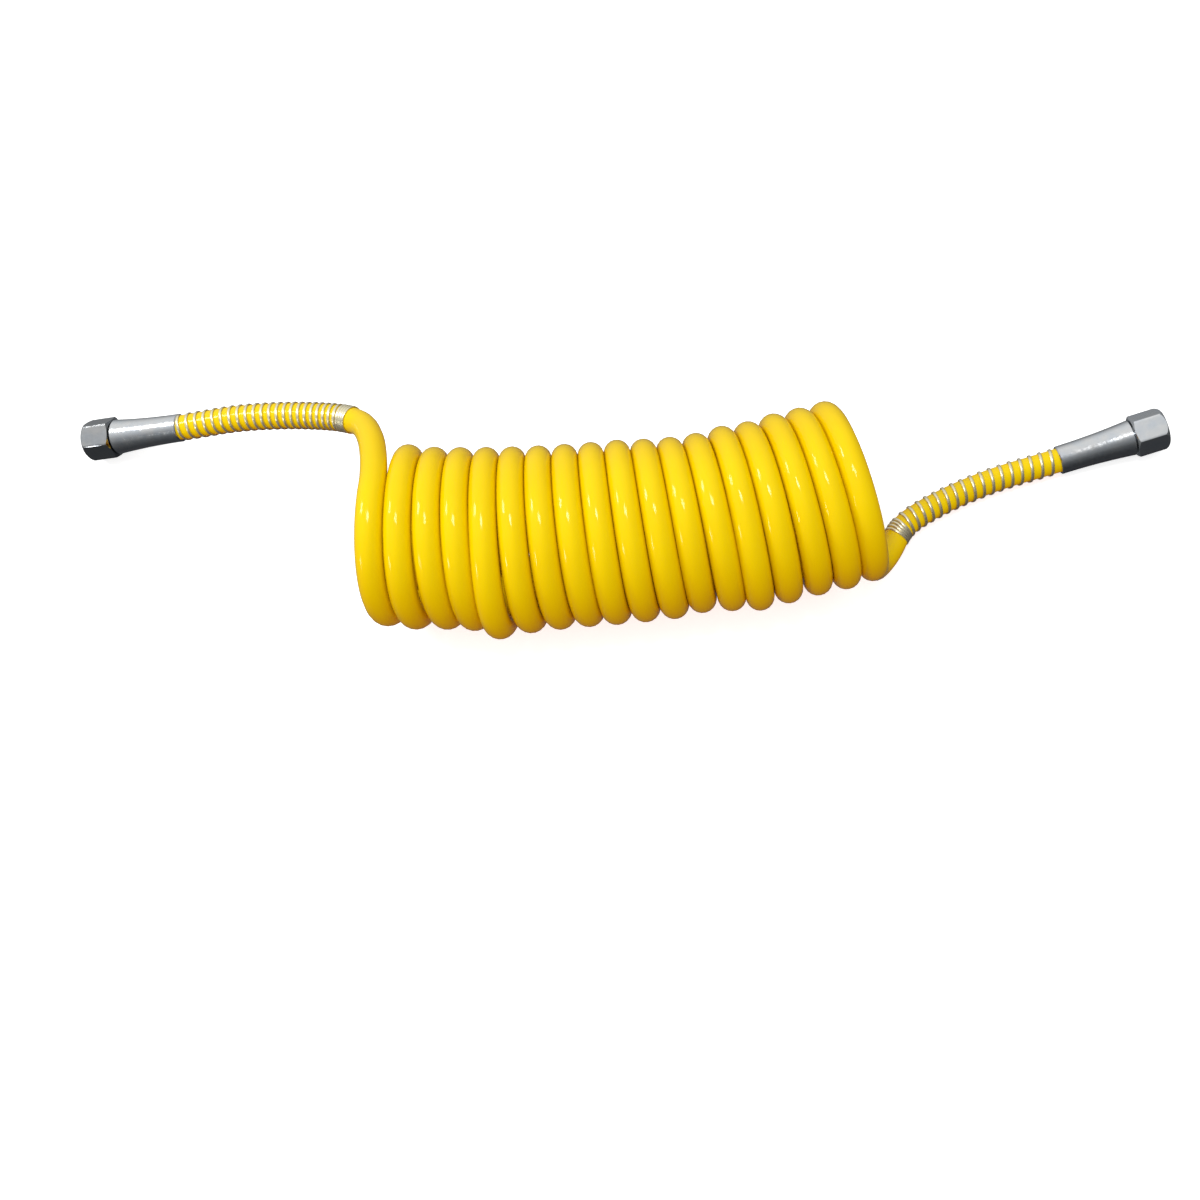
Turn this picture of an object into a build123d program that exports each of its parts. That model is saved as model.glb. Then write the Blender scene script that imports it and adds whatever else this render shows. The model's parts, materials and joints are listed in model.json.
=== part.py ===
from build123d import *
from math import cos, radians, sin, tan
import os

# Coiled compressed-air hose, millimetres, +Z up, lying on the plane Z = 0.
# One polyamide tube is wound into a close right-handed coil whose axis runs along +X,
# with a straight tail and a screw coupling at each end.

# Hose tube
HOSE_OD = 12.0
HOSE_BORE = 9.0

# Coil
TURN_RADIUS = 36.5
TURN_PITCH = 12.6
TURN_COUNT = 17.9
COIL_OD = 2 * TURN_RADIUS + HOSE_OD
AXIS_BOW_RADIUS = 680.0
BOW_CENTRE_X = 4.0
BOW_CENTRE_Y = 651.8
COIL_HEIGHT = COIL_OD / 2
COIL_START = -6.0
COIL_END = 223.0
LEFT_LEAVE_TURN = -0.07
RIGHT_LEAVE_TURN = 17.32

# Where each ferrule's hose end sits, and the way its coupling points
LEFT_FERRULE = Vector(-208.9, 56.4, 22.85)
LEFT_HEADING = 174.7
LEFT_TILT = -15.4
LEFT_HEX_TURN = 46.0
RIGHT_FERRULE = Vector(209.1, 0.3, 7.15)
RIGHT_HEADING = 11.2
RIGHT_TILT = 4.0
RIGHT_HEX_TURN = 10.0

# Coupling, as distances along its axis from the ferrule's hose end
HOSE_INSERTION = 20.0
FERRULE_LENGTH = 36.0
FERRULE_SMALL_R = 6.8
FERRULE_WAIST_R = 7.2
FERRULE_LARGE_R = 8.5
FERRULE_EDGE = 0.4
CRIMP_LIP_START = 23.0
CRIMP_LIP_END = 26.0
CRIMP_LIP_R = 5.0
STEM_START = 2.0
BARB_COUNT = 4
BARB_PITCH = 4.5
BARB_VALLEY_R = 4.1
AIR_BORE_R = 3.0
NECK_R = 5.5
FLANGE_R = 7.1
FLANGE_LENGTH = 2.2
PILOT_R = 3.9
SEAL_LENGTH = 1.2
SEAL_R = 6.5
NUT_START = 36.5
NUT_LENGTH = 15.5
NUT_FLATS = 18.0
NUT_BAR_R = 10.45
NUT_CHAMFER_R = 8.75
NUT_CHAMFER_ANGLE = 30.0
NUT_FACE_R = 8.5
NUT_DOME = 3.4
NUT_WALL = 3.5
CHAMBER_R = 7.6
CHAMBER_LENGTH = 3.6
THREAD_R = 7.2
MOUTH_R = 8.2
MOUTH_CHAMFER = 1.0
RUNNING = 0.05
FIT = 0.05

# Spring guard, as a sleeve of its outer and inner size
GUARD_OD = 13.4
GUARD_GAP = 0.2
LEFT_GUARD_STOP = 9.5
RIGHT_GUARD_STOP = 7.5

BEND_SHARE = 0.45
STRAIGHT_LEAD = 6.0


def direction(heading, tilt):
    flat = cos(radians(tilt))
    return Vector(flat * cos(radians(heading)), flat * sin(radians(heading)), sin(radians(tilt)))


def axis_point(distance):
    """A point on the coil's bowed axis, at a distance along it from the first turn's top."""
    angle = (distance - TURN_PITCH * TURN_COUNT / 2) / AXIS_BOW_RADIUS
    x = BOW_CENTRE_X + AXIS_BOW_RADIUS * sin(angle)
    y = BOW_CENTRE_Y - AXIS_BOW_RADIUS * cos(angle)
    return Vector(x, y, COIL_HEIGHT), Vector(-sin(angle), cos(angle), 0)


def turn_point(turn):
    """A point on the hose's centre line in the coil, a number of turns from the first top."""
    centre, across = axis_point(TURN_PITCH * turn)
    angle = radians(360 * turn)
    return centre - across * (TURN_RADIUS * sin(angle)) + Vector(0, 0, TURN_RADIUS * cos(angle))


def bend_radii(points):
    """The largest arc that each corner's two runs allow."""
    radii = []
    for before, corner, after in zip(points, points[1:], points[2:]):
        first, second = corner - before, after - corner
        half_turn = radians(first.get_angle(second)) / 2
        radii.append(BEND_SHARE * min(first.length, second.length) / tan(half_turn))
    return radii


def tube_along(points, radii, outer, inner):
    path = FilletPolyline(*points, radius=radii)
    section = (path ^ 0) * (Circle(outer) - Circle(inner))
    return sweep(section, path=path), path.length


def left_route():
    way = direction(LEFT_HEADING, LEFT_TILT)
    return [
        LEFT_FERRULE + way * HOSE_INSERTION,
        LEFT_FERRULE - way * STRAIGHT_LEAD,
        Vector(-180.0, 53.9, 32.2),
        Vector(-154.5, 49.3, 39.4),
        Vector(-130.0, 43.0, 45.7),
        Vector(-111.8, 36.6, 50.0),
        Vector(-109.9, 22.0, 61.0),
        Vector(-108.7, 9.0, 69.7),
        turn_point(LEFT_LEAVE_TURN),
    ]


def right_route():
    way = direction(RIGHT_HEADING, RIGHT_TILT)
    return [
        RIGHT_FERRULE + way * HOSE_INSERTION,
        RIGHT_FERRULE - way * STRAIGHT_LEAD,
        Vector(179.0, -5.6, 6.75),
        Vector(154.0, -13.6, 6.7),
        Vector(132.0, -24.2, 6.7),
        Vector(125.2, -36.4, 6.7),
        Vector(117.0, -46.5, 12.2),
        turn_point(RIGHT_LEAVE_TURN),
    ]


def spring_guard(route, radii, corner, stop, place):
    """Sleeve over the tail, from the ferrule to a stop short of the route's sharp corner."""
    back = (route[corner - 1] - route[corner]).normalized()
    points = route[:corner] + [route[corner] + back * stop]
    sleeve, _ = tube_along(points, radii[: corner - 1], GUARD_OD / 2, HOSE_OD / 2 + FIT)
    return sleeve - place * disc(GUARD_OD, -GUARD_GAP, FERRULE_LENGTH)


def turned(profile):
    """A solid of revolution about Z from (radius, height) points."""
    return revolve(make_face(Plane.XZ * Polyline(*profile, close=True)), Axis.Z)


def disc(radius, start, length):
    return Pos(0, 0, start) * Cylinder(radius, length, align=(Align.CENTER, Align.CENTER, Align.MIN))


def ferrule():
    """Tapered crimp sleeve, slightly waisted outside, with a lip for the stem's groove."""
    skirt_top = (FERRULE_LARGE_R, FERRULE_LENGTH - FERRULE_EDGE)
    skirt_foot = (FERRULE_SMALL_R, FERRULE_EDGE)
    hose_r = HOSE_OD / 2 + FIT
    flare = ThreePointArc(skirt_foot, (FERRULE_WAIST_R, FERRULE_LENGTH / 2), skirt_top)
    inside = Polyline(
        skirt_top,
        (FERRULE_LARGE_R - FERRULE_EDGE, FERRULE_LENGTH),
        (NECK_R + FIT, FERRULE_LENGTH),
        (NECK_R + FIT, CRIMP_LIP_END),
        (CRIMP_LIP_R, CRIMP_LIP_END),
        (CRIMP_LIP_R, CRIMP_LIP_START),
        (hose_r, CRIMP_LIP_START),
        (hose_r, 0),
        (FERRULE_SMALL_R - FERRULE_EDGE, 0),
        skirt_foot,
    )
    return revolve(make_face(Plane.XZ * (flare + inside)), Axis.Z)


def hose_stem():
    """Barbed nipple, crimp groove, neck, nut flange, and the pilot that centres the seal ring."""
    barb_r = HOSE_BORE / 2
    profile = [(AIR_BORE_R, STEM_START), (BARB_VALLEY_R, STEM_START)]
    for index in range(BARB_COUNT):
        foot = STEM_START + index * BARB_PITCH
        profile.append((barb_r, foot + BARB_PITCH))
        profile.append((BARB_VALLEY_R, foot + BARB_PITCH))
    neck_start = HOSE_INSERTION + RUNNING
    profile[-1] = (barb_r, neck_start)
    flange_start = NUT_START + NUT_WALL + RUNNING
    flange_end = flange_start + FLANGE_LENGTH
    profile += [
        (NECK_R, neck_start),
        (NECK_R, CRIMP_LIP_START - RUNNING),
        (CRIMP_LIP_R - RUNNING, CRIMP_LIP_START - RUNNING),
        (CRIMP_LIP_R - RUNNING, CRIMP_LIP_END + RUNNING),
        (NECK_R, CRIMP_LIP_END + RUNNING),
        (NECK_R, flange_start),
        (FLANGE_R, flange_start),
        (FLANGE_R, flange_end),
        (PILOT_R, flange_end),
        (PILOT_R, flange_end + SEAL_LENGTH),
        (AIR_BORE_R, flange_end + SEAL_LENGTH),
    ]
    return turned(profile)


def seal_ring():
    start = NUT_START + NUT_WALL + RUNNING + FLANGE_LENGTH
    ring = disc(SEAL_R, start, SEAL_LENGTH) - disc(PILOT_R, start, SEAL_LENGTH)
    return fillet(ring.edges().filter_by(GeomType.CIRCLE).sort_by(SortBy.RADIUS)[-2:], 0.3)


def union_nut(hex_turn):
    """Hexagonal nut, chamfered behind and domed in front, with the stem's chamber and a thread bore."""
    hexagon = Rot(0, 0, hex_turn) * RegularPolygon(NUT_FLATS / 2, 6, major_radius=False)
    end = NUT_START + NUT_LENGTH
    slope = (NUT_BAR_R - NUT_CHAMFER_R) * tan(radians(NUT_CHAMFER_ANGLE))
    dome_start = (NUT_BAR_R, end - NUT_DOME)
    dome_end = (NUT_FACE_R, end)
    dome = TangentArc(dome_start, dome_end, tangent=(0, 1))
    behind = Polyline(
        dome_end,
        (0, end),
        (0, NUT_START),
        (NUT_CHAMFER_R, NUT_START),
        (NUT_BAR_R, NUT_START + slope),
        dome_start,
    )
    blank = Pos(0, 0, NUT_START) * extrude(hexagon, NUT_LENGTH)
    blank &= revolve(make_face(Plane.XZ * (dome + behind)), Axis.Z)
    chamber = NUT_START + NUT_WALL
    thread = chamber + CHAMBER_LENGTH
    blank -= disc(NECK_R + RUNNING, NUT_START, NUT_WALL)
    blank -= disc(CHAMBER_R, chamber, CHAMBER_LENGTH)
    blank -= disc(THREAD_R, thread, end - thread)
    blank -= turned([(0, end - MOUTH_CHAMFER), (THREAD_R, end - MOUTH_CHAMFER), (MOUTH_R, end), (0, end)])
    return blank


def hose_coil():
    """The cylinder that the turns fill, along the bowed axis."""
    ends = [axis_point(COIL_START)[0], axis_point((COIL_START + COIL_END) / 2)[0], axis_point(COIL_END)[0]]
    path = ThreePointArc(*ends)
    return sweep((path ^ 0) * Circle(COIL_OD / 2), path=path)


def coupling_place(route):
    """The coupling's own frame: origin at the ferrule's hose end, +Z out of the nut."""
    way = (route[0] - route[1]).normalized()
    level = Vector(0, 0, 1).cross(way)
    origin = route[0] - way * HOSE_INSERTION
    return Plane(origin=origin, x_dir=level, z_dir=way).location


def write(name, shape):
    shape.label = name
    export_step(shape, f"parts/{name}.step")
    box = shape.bounding_box()
    print(f"{name}: volume {shape.volume:.0f}, lowest {box.min.Z:.2f}")
    return box


def report_tail(name, radii, length, solid):
    section = (Circle(HOSE_OD / 2) - Circle(HOSE_BORE / 2)).area
    rounded = [round(radius, 1) for radius in radii]
    print(f"{name}: radii {rounded}, length {length:.1f}")
    print(f"{name}: volume over section times length {solid.volume / (section * length):.4f}")


os.makedirs("parts", exist_ok=True)
ENDS = {
    "left": (left_route(), 5, LEFT_GUARD_STOP, LEFT_HEX_TURN),
    "right": (right_route(), 5, RIGHT_GUARD_STOP, RIGHT_HEX_TURN),
}
boxes = [write("hose_coil", hose_coil())]
for side, (route, corner, stop, hex_turn) in ENDS.items():
    radii = bend_radii(route)
    tail, length = tube_along(route, radii, HOSE_OD / 2, HOSE_BORE / 2)
    report_tail(f"{side}_hose_tail", radii, length, tail)
    place = coupling_place(route)
    guard = spring_guard(route, radii, corner, stop, place)
    boxes.append(write(f"{side}_hose_tail", tail))
    boxes.append(write(f"{side}_spring_guard", guard))
    boxes.append(write(f"{side}_ferrule", place * ferrule()))
    boxes.append(write(f"{side}_hose_stem", place * hose_stem()))
    boxes.append(write(f"{side}_seal_ring", place * seal_ring()))
    boxes.append(write(f"{side}_union_nut", place * union_nut(hex_turn)))
lows = [min(getattr(box.min, axis) for box in boxes) for axis in "XYZ"]
highs = [max(getattr(box.max, axis) for box in boxes) for axis in "XYZ"]
print("whole:", [round(value, 2) for value in lows], "to", [round(value, 2) for value in highs])
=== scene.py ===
import json
from math import cos, pi, radians, sin, sqrt, tan

import bmesh
import bpy
from mathutils import Matrix, Vector


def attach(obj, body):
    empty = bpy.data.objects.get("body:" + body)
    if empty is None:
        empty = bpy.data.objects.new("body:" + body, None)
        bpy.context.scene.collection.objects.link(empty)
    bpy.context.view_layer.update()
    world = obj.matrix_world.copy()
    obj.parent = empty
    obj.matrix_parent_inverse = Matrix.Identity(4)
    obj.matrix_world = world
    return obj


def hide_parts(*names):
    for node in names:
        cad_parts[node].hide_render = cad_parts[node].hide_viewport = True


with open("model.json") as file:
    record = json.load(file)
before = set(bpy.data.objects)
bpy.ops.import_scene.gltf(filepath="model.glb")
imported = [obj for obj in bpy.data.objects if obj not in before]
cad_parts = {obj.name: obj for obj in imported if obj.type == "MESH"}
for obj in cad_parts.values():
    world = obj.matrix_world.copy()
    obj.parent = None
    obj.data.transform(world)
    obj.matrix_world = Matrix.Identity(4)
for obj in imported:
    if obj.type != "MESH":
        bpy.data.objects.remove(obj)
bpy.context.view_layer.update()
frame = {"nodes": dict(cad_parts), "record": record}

MILLIMETRE = 0.001

# The hose, in metres, along the CAD model's route, with three changes to follow the photo. Its
# turns are 0.3 mm smaller in radius, because the tube is fuller there, its left bend lies up to
# 4 mm over, and single turns lie out of the row.
HOSE_R = 0.006
TURN_RADIUS = 0.0362
TURN_PITCH = 0.0126
TURN_COUNT = 17.9
AXIS_BOW_RADIUS = 0.680
BOW_CENTRE = Vector((0.004, 0.6518, 0.0425))
LEFT_LEAVE_TURN = -0.07
RIGHT_LEAVE_TURN = 17.32
STEPS_PER_TURN = 24
HOSE_INSERTION = 0.020
COUPLINGS = {
    "left": (Vector((-0.2089, 0.0564, 0.02285)), 174.7, -15.4),
    "right": (Vector((0.2091, 0.0003, 0.00715)), 11.2, 4.0),
}
STRAIGHT_LEAD = 0.006
CURVE_STEPS = 6
BEVEL_STEPS = 8

# Union nut, as distances along its axis from its joint's place, and radii
NUT_REAR = -0.0075
NUT_FRONT = 0.0080
NUT_FLATS = 0.018
NUT_CHAMFER_R = 0.00875
NUT_CHAMFER_ANGLE = 30
NUT_BAR_R = 0.01045
NUT_FACE_R = 0.0085
NUT_DOME = 0.0034
NUT_DOME_RISE = NUT_BAR_R - NUT_FACE_R
NUT_DOME_ARC = (NUT_DOME_RISE ** 2 + NUT_DOME ** 2) / (2 * NUT_DOME_RISE)
NUT_DOME_ROWS = 7
NUT_CORNER_SHARPNESS = 60
NUT_HOLE_R = 0.00555
NUT_WALL_END = -0.0040
CHAMBER_R = 0.0076
THREAD_START = -0.0004
THREAD_CREST_R = 0.0072
THREAD_ROOT_R = 0.0080
THREAD_PITCH = 0.0015
THREAD_ROWS_PER_PITCH = 8
MOUTH_R = 0.0082
MOUTH_CHAMFER = 0.0010
HEX_TURNS = {"left": 46, "right": 10}
NUT_SIDES = 144
SHARP_EDGE = radians(25)

# The tube looks fuller than its 12 mm in the coil and the bends, most at the front of each turn
# and hardly at all at its back, and slimmer under the right guard. These are shares of its width.
TURN_SWELL = 0.050
FRONT_SWELL = 0.048
GUARDED_SWELLS = {"left": 0.0, "right": -0.05}
GUARDED_POINTS = 4
BEND_SWELLS = {"left": (0.0, 0.035, 0.035), "right": (0.02, 0.035)}

# Where single turns lie out of the row: the turn, and how far to +X and to +Y, in millimetres
LOOSE_REACH = 0.35
LOOSE_SPOTS = (
    (0.3, 0.0, 0.9),
    (0.8, 0.0, 0.9),
    (2.3, 1.4, 0.2),
    (3.3, 0.8, -0.2),
    (4.3, -0.9, -4.2),
    (5.3, 0.2, -1.6),
    (6.3, 0.5, -0.5),
    (7.3, 0.5, 0.0),
    (9.8, 0.0, -0.9),
    (10.8, 0.0, -1.6),
    (11.3, -0.4, 1.2),
    (11.8, 0.0, -1.5),
    (13.3, -0.5, -2.0),
    (14.3, -0.5, -1.0),
    (14.8, 0.0, 1.4),
    (15.8, 0.0, 1.6),
    (16.8, -0.3, 1.9),
    (17.3, -0.8, 0.9),
)

# Spring guards, wound from flattened wire
WIRE_THICKNESS = 0.0007
WIRE_WIDTH = 0.0015
GUARDS = {
    # length, pitch beside the ferrule, pitch beside the closed turns
    "left": (0.0952, 0.0050, 0.0030),
    "right": (0.0880, 0.0051, 0.0042),
}
CLOSED_TURNS = 4
CLOSED_PITCH = 1.02 * WIRE_WIDTH
PITCH_EASE = 1.5
WIRE_SIDES = 14
GUARD_STEPS_PER_TURN = 28

# Finishes
NOISE_LOW = 0.35
NOISE_HIGH = 0.65
PLATE_TINTS = ((0.90, 0.95, 1.00), (1.00, 1.01, 1.01))
# How light a plate is, and its roughness where it is smoothest and dullest
FERRULE_FINISH = (0.67, 0.13, 0.26)
# The two nuts are the same zinc plate, but the left nut's tone is set much darker than the right's:
# painted shade, not a different finish.
NUT_FINISHES_WITH_PAINTED_SHADE = {
    "left": (0.42, 0.11, 0.17),
    "right": (0.80, 0.19, 0.23),
}

# Floor and lamps
FLOOR_REACH = 6
FLOOR_GLOW = 0.62
SOFTBOXES = {
    # the way to the lamp, its distance and size in metres, and its power in watts
    "overhead_softbox": ((-0.07, 0.03, 1), 1.5, (0.28, 0.4), 7),
    "left_softbox": ((-0.76, 0.32, 0.57), 1.5, (0.28, 0.36), 5.4),
    "front_left_window": ((-0.9, -0.4, 0.2), 1.6, (0.3, 0.25), 2.5),
}

# Skies: the slope that each is laid along, how far it reaches, and colours at places on it
DOME_SLOPE = (0.0, 0.0, 1.0)
DOME_REACH = 1.0
DOME_STOPS = (
    (-0.6, (0.46, 0.08, 0.01)),
    (-0.1, (0.56, 0.15, 0.02)),
    (0.0, (0.46, 0.46, 0.46)),
    (0.5, (0.76, 0.76, 0.76)),
    (0.9, (0.79, 0.79, 0.79)),
)
MIRRORED_SLOPE = (-0.35, 0.55, 0.60)
MIRRORED_REACH = 0.9
MIRRORED_STOPS = (
    (-0.7, (0.040, 0.042, 0.046)),
    (-0.25, (0.11, 0.115, 0.12)),
    (0.23, (0.30, 0.31, 0.32)),
    (0.45, (0.52, 0.53, 0.54)),
    (0.8, (0.95, 0.95, 0.95)),
)
BACKDROP = (1.0, 1.0, 1.0, 1.0)

# Camera
CAMERA_TARGET = Vector((-0.0134, -0.0450, 0.0))
CAMERA_DISTANCE = 0.900
CAMERA_AZIMUTH = 7.65
CAMERA_ELEVATION = 70.0
CAMERA_ROLL = -12.7
CAMERA_LENS = 56.8
CAMERA_SENSOR = 36
CAMERA_CLIP = 0.01


def axis_point(distance):
    """A point on the coil's bowed axis, and the level direction across the axis there."""
    angle = (distance - TURN_PITCH * TURN_COUNT / 2) / AXIS_BOW_RADIUS
    centre = BOW_CENTRE + Vector((sin(angle), -cos(angle), 0)) * AXIS_BOW_RADIUS
    return centre, Vector((-sin(angle), cos(angle), 0))


def turn_point(turn):
    """A point on the hose's centre line in the coil, a number of turns from the first top."""
    centre, across = axis_point(TURN_PITCH * turn)
    angle = 2 * pi * turn
    place = centre - across * (TURN_RADIUS * sin(angle)) + Vector((0, 0, TURN_RADIUS * cos(angle)))
    return place + looseness(turn)


def looseness(turn):
    """How far the hose lies out of the row at a place in the coil."""
    shift = Vector((0, 0, 0))
    for spot, along, across in LOOSE_SPOTS:
        gap = abs(turn - spot) / LOOSE_REACH
        if gap < 1:
            shift += Vector((along, across, 0)) * MILLIMETRE * (0.5 + 0.5 * cos(pi * gap))
    return shift


def direction(heading, tilt):
    flat = cos(radians(tilt))
    return Vector((flat * cos(radians(heading)), flat * sin(radians(heading)), sin(radians(tilt))))


def coupling_lead(side):
    """The hose's end inside the ferrule, and the point where it starts to bend outside it."""
    origin, heading, tilt = COUPLINGS[side]
    way = direction(heading, tilt)
    return [origin + way * HOSE_INSERTION, origin - way * STRAIGHT_LEAD]


def hose_route():
    """The hose's points from the left ferrule to the right one, and its swell at each."""
    left = coupling_lead("left") + [
        Vector((-0.1800, 0.0539, 0.0322)),
        Vector((-0.1545, 0.0493, 0.0394)),
        Vector((-0.1300, 0.0430, 0.0457)),
        Vector((-0.1156, 0.0364, 0.0507)),
        Vector((-0.1094, 0.0228, 0.0615)),
        Vector((-0.1071, 0.0088, 0.0695)),
    ]
    right = coupling_lead("right") + [
        Vector((0.1790, -0.0056, 0.00675)),
        Vector((0.1540, -0.0136, 0.0067)),
        Vector((0.1320, -0.0242, 0.0067)),
        Vector((0.1252, -0.0364, 0.0067)),
        Vector((0.1170, -0.0465, 0.0122)),
    ]
    steps = round((RIGHT_LEAVE_TURN - LEFT_LEAVE_TURN) * STEPS_PER_TURN)
    turns = [
        LEFT_LEAVE_TURN + (RIGHT_LEAVE_TURN - LEFT_LEAVE_TURN) * step / steps
        for step in range(steps + 1)
    ]
    points = left + [turn_point(turn) for turn in turns] + right[::-1]
    swell = [TURN_SWELL + FRONT_SWELL * sin(2 * pi * turn) for turn in turns]
    left_swell, right_swell = (
        [0.0] + [GUARDED_SWELLS[side]] * GUARDED_POINTS + list(BEND_SWELLS[side])
        for side in ("left", "right")
    )
    return points, [1 + share for share in left_swell + swell + right_swell[::-1]]


def nurbs_curve(name, points, bevel, swell=None):
    data = bpy.data.curves.new(name, "CURVE")
    data.dimensions = "3D"
    data.resolution_u = CURVE_STEPS
    data.bevel_depth = bevel
    data.bevel_resolution = BEVEL_STEPS
    spline = data.splines.new("NURBS")
    spline.points.add(len(points) - 1)
    for place, point, size in zip(spline.points, points, swell or [1] * len(points)):
        place.co = (*point, 1)
        place.radius = size
    spline.order_u = 3
    spline.use_endpoint_u = True
    piece = bpy.data.objects.new(name, data)
    bpy.context.collection.objects.link(piece)
    return piece


def centre_line(points):
    """Points along the route's own smooth line."""
    bare = nurbs_curve("bare_route", points, 0)
    bpy.context.view_layer.update()
    mesh = bpy.data.meshes.new_from_object(bare.evaluated_get(bpy.context.evaluated_depsgraph_get()))
    line = [vertex.co.copy() for vertex in mesh.vertices]
    data = bare.data
    bpy.data.objects.remove(bare)
    bpy.data.curves.remove(data)
    bpy.data.meshes.remove(mesh)
    return line


class Track:
    """A line of points that can be asked for the place and a steady frame at any length."""

    def __init__(self, points):
        self.points = points
        self.lengths = [0.0]
        for before, after in zip(points, points[1:]):
            self.lengths.append(self.lengths[-1] + (after - before).length)
        ways = [(after - before).normalized() for before, after in zip(points, points[1:])]
        self.ways = ways + [ways[-1]]
        side = ways[0].orthogonal().normalized()
        self.sides = []
        for way in self.ways:
            side = (side - way * side.dot(way)).normalized()
            self.sides.append(side)
        self.index = 0

    def at(self, length):
        while self.index > 0 and self.lengths[self.index] > length:
            self.index -= 1
        while self.index < len(self.points) - 2 and self.lengths[self.index + 1] < length:
            self.index += 1
        low = self.index
        share = (length - self.lengths[low]) / (self.lengths[low + 1] - self.lengths[low])
        place = self.points[low].lerp(self.points[low + 1], share)
        way = self.ways[low].lerp(self.ways[low + 1], share).normalized()
        side = self.sides[low].lerp(self.sides[low + 1], share)
        side = (side - way * side.dot(way)).normalized()
        return place, side, way.cross(side)


def swept_mesh(name, points, outs, thickness, width):
    """A flattened wire along points, its thin way facing outwards, closed at both ends."""
    rings = []
    bm = bmesh.new()
    turns = [2 * pi * step / WIRE_SIDES for step in range(WIRE_SIDES)]
    for before, place, after, out in zip(points[:1] + points, points, points[1:] + points[-1:], outs):
        across = (after - before).cross(out).normalized() * width / 2
        rise = out * thickness / 2
        rings.append([bm.verts.new(place + rise * cos(turn) + across * sin(turn)) for turn in turns])
    for first, second in zip(rings, rings[1:]):
        for step in range(WIRE_SIDES):
            after = (step + 1) % WIRE_SIDES
            bm.faces.new((first[step], first[after], second[after], second[step]))
    bm.faces.new(rings[0][::-1])
    bm.faces.new(rings[-1])
    bmesh.ops.recalc_face_normals(bm, faces=bm.faces)
    return finished(name, bm)


def finished(name, bm, sharp=pi):
    """A smooth-shaded object from a bmesh, with creases where its faces meet sharply."""
    for edge in bm.edges:
        edge.smooth = edge.calc_face_angle(0) < sharp
    mesh = bpy.data.meshes.new(name)
    bm.to_mesh(mesh)
    bm.free()
    for face in mesh.polygons:
        face.use_smooth = True
    piece = bpy.data.objects.new(name, mesh)
    bpy.context.collection.objects.link(piece)
    return piece


def guard_wire(track, start, way, side):
    """A spring wound round the tail from the ferrule towards the bend: points, and ways out."""
    length, first_pitch, last_pitch = GUARDS[side]
    open_length = length - CLOSED_TURNS * CLOSED_PITCH
    radius = HOSE_R * (1 + GUARDED_SWELLS[side]) + WIRE_THICKNESS / 2
    points = []
    outs = []
    along = WIRE_WIDTH / 2
    turn = 0
    while along < length:
        share = min(along / open_length, 1)
        pitch = first_pitch + (last_pitch - first_pitch) * share ** PITCH_EASE
        if along > open_length:
            pitch = CLOSED_PITCH
        place, side_way, other_way = track.at(start + way * along)
        angle = 2 * pi * turn
        outs.append(side_way * cos(angle) + other_way * sin(angle))
        points.append(place + outs[-1] * radius)
        turn += 1 / GUARD_STEPS_PER_TURN
        along += pitch / GUARD_STEPS_PER_TURN
    return points, outs


def hexagon_radius(angle):
    """How far a hexagon with softly rounded corners reaches at an angle from its first corner."""
    reach = 0
    for face in range(6):
        facing = cos(angle - radians(30 + 60 * face))
        if facing > 0:
            reach += facing ** NUT_CORNER_SHARPNESS
    return NUT_FLATS / 2 / reach ** (1 / NUT_CORNER_SHARPNESS)


def dome_depth(radius):
    """How far behind the nut's front face its domed end lies at a radius."""
    centre = NUT_BAR_R - NUT_DOME_ARC
    return NUT_DOME - sqrt(NUT_DOME_ARC ** 2 - (radius - centre) ** 2)


def dome_radius(depth):
    """The domed end's radius at a depth behind the nut's front face."""
    return NUT_BAR_R - NUT_DOME_ARC + sqrt(NUT_DOME_ARC ** 2 - (NUT_DOME - depth) ** 2)


def thread_radius(along, angle):
    """The rounded V of a right-handed thread, which runs out at both ends."""
    wave = 0.5 + 0.5 * cos(2 * pi * (along / THREAD_PITCH - angle / (2 * pi)))
    end = NUT_FRONT - MOUTH_CHAMFER
    room = min(along - THREAD_START, end - along)
    fade = min(1, max(0, room) / (THREAD_PITCH / 2))
    return THREAD_CREST_R + (THREAD_ROOT_R - THREAD_CREST_R) * wave * fade


def nut_rows(angle, hex_angle):
    """(radius, distance along the axis) round the nut's section at one angle."""
    outer = hexagon_radius(hex_angle)
    chamfer = (outer - NUT_CHAMFER_R) * tan(radians(NUT_CHAMFER_ANGLE))
    rows = [(NUT_HOLE_R, NUT_REAR), (NUT_CHAMFER_R, NUT_REAR), (outer, NUT_REAR + chamfer)]
    depth = dome_depth(outer)
    rows += [(outer, NUT_FRONT - depth)]
    for row in range(1, NUT_DOME_ROWS):
        here = depth * (1 - row / NUT_DOME_ROWS)
        rows.append((dome_radius(here), NUT_FRONT - here))
    rows += [(NUT_FACE_R, NUT_FRONT), (MOUTH_R, NUT_FRONT)]
    thread_end = NUT_FRONT - MOUTH_CHAMFER
    steps = round((thread_end - THREAD_START) / THREAD_PITCH * THREAD_ROWS_PER_PITCH)
    for step in range(steps + 1):
        along = thread_end + (THREAD_START - thread_end) * step / steps
        rows.append((thread_radius(along, angle), along))
    rows += [(CHAMBER_R, THREAD_START), (CHAMBER_R, NUT_WALL_END), (NUT_HOLE_R, NUT_WALL_END)]
    return rows


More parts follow.
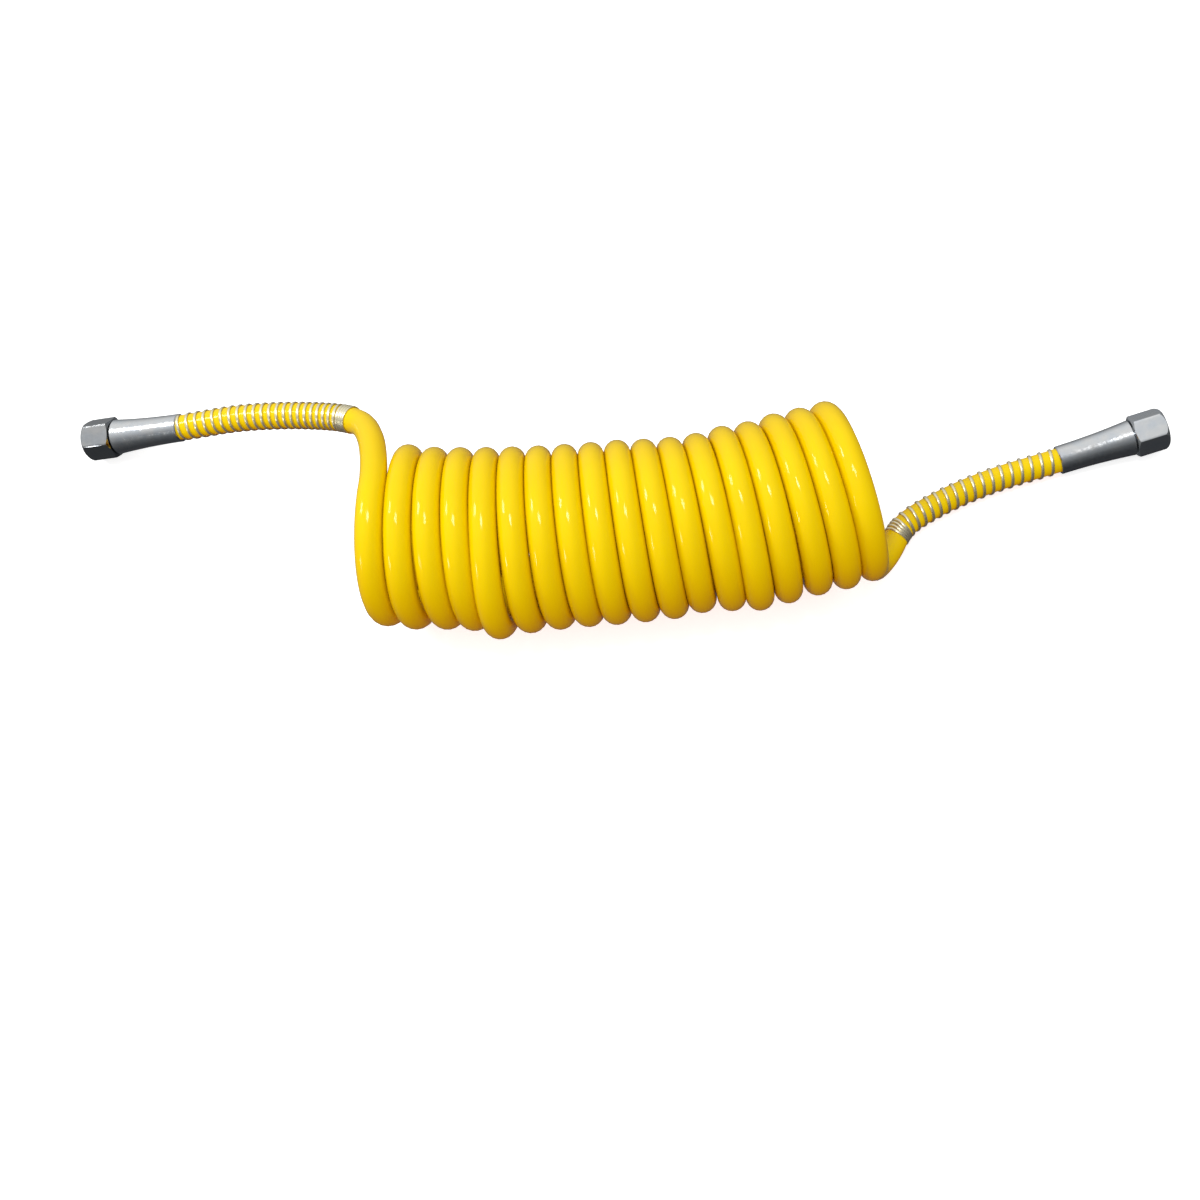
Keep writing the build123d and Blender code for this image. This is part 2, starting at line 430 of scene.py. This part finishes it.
def nut_mesh(name, place, way, hex_turn):
    """The hexagonal nut with its thread, turned about its joint's axis."""
    level = Vector((0, 0, 1)).cross(way).normalized()
    rise = way.cross(level)
    bm = bmesh.new()
    columns = []
    for step in range(NUT_SIDES):
        angle = 2 * pi * step / NUT_SIDES
        spoke = level * cos(angle) + rise * sin(angle)
        rows = nut_rows(angle, angle - radians(hex_turn))
        columns.append([bm.verts.new(place + spoke * radius + way * along) for radius, along in rows])
    for first, second in zip(columns, columns[1:] + columns[:1]):
        for row in range(len(first)):
            after = (row + 1) % len(first)
            bm.faces.new((first[row], first[after], second[after], second[row]))
    bmesh.ops.recalc_face_normals(bm, faces=bm.faces)
    return finished(name, bm, SHARP_EDGE)


# Materials

class Shading:
    """A material's nodes, with the noises and mixes that every finish here is made from."""

    def __init__(self, name, roughness, metallic=0):
        self.material = bpy.data.materials.new(name)
        self.material.use_nodes = True
        self.nodes = self.material.node_tree.nodes
        self.links = self.material.node_tree.links
        self.shader = self.nodes["Principled BSDF"]
        self.shader.inputs["Metallic"].default_value = metallic
        self.shader.inputs["Roughness"].default_value = roughness
        self.place = self.nodes.new("ShaderNodeTexCoord").outputs["Object"]

    def noise(self, scale, detail=4, place=None):
        node = self.nodes.new("ShaderNodeTexNoise")
        node.inputs["Scale"].default_value = scale
        node.inputs["Detail"].default_value = detail
        self.links.new(place or self.place, node.inputs["Vector"])
        return node.outputs["Fac"]

    def spread(self, value, low, high):
        """A noise's usual range taken to low..high."""
        node = self.nodes.new("ShaderNodeMapRange")
        node.inputs["From Min"].default_value = NOISE_LOW
        node.inputs["From Max"].default_value = NOISE_HIGH
        node.inputs["To Min"].default_value = low
        node.inputs["To Max"].default_value = high
        self.links.new(value, node.inputs["Value"])
        return node.outputs["Result"]

    def colours(self, value, first, second):
        node = self.nodes.new("ShaderNodeMix")
        node.data_type = "RGBA"
        node.inputs["A"].default_value = (*first, 1)
        node.inputs["B"].default_value = (*second, 1)
        self.links.new(self.spread(value, 0, 1), node.inputs["Factor"])
        self.links.new(node.outputs["Result"], self.shader.inputs["Base Color"])

    def roughen(self, value, low, high):
        self.links.new(self.spread(value, low, high), self.shader.inputs["Roughness"])

    def bump(self, value, depth):
        """Relief of a depth in metres, on top of any that is there already."""
        node = self.nodes.new("ShaderNodeBump")
        node.inputs["Strength"].default_value = 1.0
        node.inputs["Distance"].default_value = depth
        self.links.new(value, node.inputs["Height"])
        last = self.shader.inputs["Normal"]
        if last.is_linked:
            self.links.new(last.links[0].from_socket, node.inputs["Normal"])
        self.links.new(node.outputs["Normal"], last)

    def along(self, way, stretch):
        """Coordinates that change along an axis and not across it, for turning marks."""
        mapped = self.nodes.new("ShaderNodeVectorMath")
        mapped.operation = "DOT_PRODUCT"
        mapped.inputs[1].default_value = way * stretch
        self.links.new(self.place, mapped.inputs[0])
        joined = self.nodes.new("ShaderNodeCombineXYZ")
        self.links.new(mapped.outputs["Value"], joined.inputs["X"])
        return joined.outputs["Vector"]


def polyamide_material():
    shading = Shading("yellow_polyamide", 0.1)
    shading.shader.inputs["Specular IOR Level"].default_value = 0.2
    shading.colours(shading.noise(35), (0.88, 0.63, 0.0), (0.86, 0.60, 0.0))
    shading.roughen(shading.noise(260, 6), 0.07, 0.12)
    shading.bump(shading.noise(420, 3), 0.000006)
    shading.bump(shading.noise(3200, 2), 0.000001)
    return shading.material


def plate_material(name, way, tone, smooth, dull):
    """Zinc plate over turned steel: faint rings, cloudy sheen and small pits."""
    shading = Shading(name, smooth, metallic=1)
    dark, light = (tuple(tone * share for share in tint) for tint in PLATE_TINTS)
    shading.colours(shading.noise(190, 5), dark, light)
    shading.roughen(shading.noise(700, 5), smooth, dull)
    shading.bump(shading.noise(1, 3, shading.along(way, 2600)), 0.000010)
    shading.bump(shading.noise(900, 4), 0.000012)
    return shading.material


def wire_material():
    shading = Shading("spring_wire", 0.3, metallic=0.85)
    # The wire's colour is partly the steel's own grey and partly a painted reflection: a cream-yellow
    # tint standing in for the yellow tube it is wound round.
    shading.colours(shading.noise(300), (0.86, 0.79, 0.55), (0.80, 0.74, 0.52))
    shading.roughen(shading.noise(1500), 0.25, 0.4)
    shading.bump(shading.noise(2500), 0.000010)
    return shading.material


def steel_material():
    shading = Shading("stem_steel", 0.3, metallic=1)
    shading.colours(shading.noise(500), (0.50, 0.51, 0.53), (0.60, 0.61, 0.62))
    shading.roughen(shading.noise(1200), 0.22, 0.4)
    return shading.material


def rubber_material():
    shading = Shading("black_rubber", 0.6)
    shading.colours(shading.noise(800), (0.012, 0.012, 0.013), (0.022, 0.022, 0.022))
    shading.roughen(shading.noise(1500), 0.5, 0.7)
    shading.bump(shading.noise(2600), 0.00002)
    return shading.material


def dress(node, material):
    """Gives a CAD node its finish."""
    slots = frame["nodes"][node].data.materials
    slots.clear()
    slots.append(material)


# Pieces

POLYAMIDE = polyamide_material()
WIRE = wire_material()
STEEL = steel_material()
RUBBER = rubber_material()
NUT_JOINTS = {joint["name"]: joint for joint in frame["record"]["behaviour"]["joints"]}

route, swell = hose_route()
hose = nurbs_curve("hose", route, HOSE_R, swell)
hose.data.materials.append(POLYAMIDE)
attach(hose, "hose")
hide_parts("hose_coil", "left_hose_tail", "right_hose_tail")

line = Track(centre_line(route))
total = line.lengths[-1]
fittings = []
for side, start, way in (("left", HOSE_INSERTION, 1), ("right", total - HOSE_INSERTION, -1)):
    guard = swept_mesh(
        f"{side}_guard_wire", *guard_wire(line, start, way, side), WIRE_THICKNESS, WIRE_WIDTH
    )
    guard.data.materials.append(WIRE)
    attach(guard, "hose")
    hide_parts(f"{side}_spring_guard")

    joint = NUT_JOINTS[f"{side}_nut_spin"]
    axis = Vector(joint["axis"])
    nut = nut_mesh(f"{side}_nut", Vector(joint["pos_m"]), axis, HEX_TURNS[side])
    nut.data.materials.append(plate_material(f"{side}_nut_plate", axis, *NUT_FINISHES_WITH_PAINTED_SHADE[side]))
    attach(nut, f"{side}_nut")
    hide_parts(f"{side}_union_nut")

    dress(f"{side}_ferrule", plate_material(f"{side}_ferrule_plate", axis, *FERRULE_FINISH))
    dress(f"{side}_hose_stem", STEEL)
    dress(f"{side}_seal_ring", RUBBER)
    fittings += [guard, nut]
    fittings += [frame["nodes"][f"{side}_{part}"] for part in ("ferrule", "hose_stem", "seal_ring")]


# Stage, light and camera

def add_floor():
    """A pale floor, which the pieces neither mirror nor take light from."""
    bm = bmesh.new()
    bmesh.ops.create_grid(bm, x_segments=1, y_segments=1, size=FLOOR_REACH)
    floor = finished("floor", bm)
    shading = Shading("pale_floor", 0.8)
    shading.colours(shading.noise(3), (0.88, 0.88, 0.88), (0.90, 0.90, 0.90))
    shading.shader.inputs["Specular IOR Level"].default_value = 0.1
    shading.shader.inputs["Emission Color"].default_value = (1, 1, 1, 1)
    shading.shader.inputs["Emission Strength"].default_value = FLOOR_GLOW
    floor.data.materials.append(shading.material)
    floor.visible_glossy = False
    floor.visible_diffuse = False


def add_softbox(name, way, distance, size, power):
    """A lamp seen from the object in a direction, facing it."""
    data = bpy.data.lights.new(name, "AREA")
    data.shape = "RECTANGLE"
    data.size = size[0]
    data.size_y = size[1]
    data.energy = power
    lamp = bpy.data.objects.new(name, data)
    bpy.context.collection.objects.link(lamp)
    lamp.location = Vector(way).normalized() * distance
    lamp.rotation_euler = Vector(way).to_track_quat("Z", "Y").to_euler()


def add_camera():
    azimuth, elevation, roll = (radians(a) for a in (CAMERA_AZIMUTH, CAMERA_ELEVATION, CAMERA_ROLL))
    forward = Vector((-sin(azimuth) * cos(elevation), cos(azimuth) * cos(elevation), -sin(elevation)))
    level = Vector((cos(azimuth), sin(azimuth), 0))
    up = level.cross(forward)
    right = level * cos(roll) + up * sin(roll)
    top = up * cos(roll) - level * sin(roll)
    data = bpy.data.cameras.new("camera")
    data.lens = CAMERA_LENS
    data.sensor_width = CAMERA_SENSOR
    data.clip_start = CAMERA_CLIP
    camera = bpy.data.objects.new("camera", data)
    bpy.context.collection.objects.link(camera)
    turn = Matrix((right, top, -forward)).transposed().to_4x4()
    camera.matrix_world = Matrix.Translation(CAMERA_TARGET - forward * CAMERA_DISTANCE) @ turn
    bpy.context.scene.camera = camera


def sky(nodes, links, slope, reach, stops):
    """Colours by how far a direction points along a slope, from -reach to reach."""
    coordinates = nodes.new("ShaderNodeTexCoord")
    height = nodes.new("ShaderNodeVectorMath")
    height.operation = "DOT_PRODUCT"
    height.inputs[1].default_value = slope
    share = nodes.new("ShaderNodeMapRange")
    share.inputs["From Min"].default_value = -reach
    share.inputs["From Max"].default_value = reach
    ramp = nodes.new("ShaderNodeValToRGB")
    links.new(coordinates.outputs["Generated"], height.inputs[0])
    links.new(height.outputs["Value"], share.inputs["Value"])
    links.new(share.outputs["Result"], ramp.inputs["Fac"])
    places = ramp.color_ramp.elements
    while len(places) < len(stops):
        places.new(0.5)
    for place, (at, colour) in zip(places, stops):
        place.position = (at + reach) / (2 * reach)
        place.color = (*colour, 1)
    return ramp.outputs["Color"]


def by_ray(nodes, links, ray, usual, special):
    """A special colour for one kind of ray, and the usual one for the others."""
    chosen = nodes.new("ShaderNodeMix")
    chosen.data_type = "RGBA"
    links.new(nodes.new("ShaderNodeLightPath").outputs[ray], chosen.inputs["Factor"])
    links.new(usual, chosen.inputs["A"])
    links.new(special, chosen.inputs["B"])
    return chosen.outputs["Result"]


def light_world():
    """A studio: a pale dome over a warm ground, a darker front in reflections, a white backdrop."""
    world = bpy.data.worlds.new("studio")
    bpy.context.scene.world = world
    world.use_nodes = True
    nodes, links = world.node_tree.nodes, world.node_tree.links
    dome = sky(nodes, links, DOME_SLOPE, DOME_REACH, DOME_STOPS)
    mirrored = sky(nodes, links, MIRRORED_SLOPE, MIRRORED_REACH, MIRRORED_STOPS)
    backdrop = nodes.new("ShaderNodeRGB").outputs["Color"]
    backdrop.default_value = BACKDROP
    seen = by_ray(nodes, links, "Is Glossy Ray", dome, mirrored)
    seen = by_ray(nodes, links, "Is Camera Ray", seen, backdrop)
    links.new(seen, nodes["Background"].inputs["Color"])
    nodes["Background"].inputs["Strength"].default_value = 1.0


add_floor()
for lamp_name, setting in SOFTBOXES.items():
    add_softbox(lamp_name, *setting)
light_world()
add_camera()
bpy.context.scene.view_settings.view_transform = "Standard"
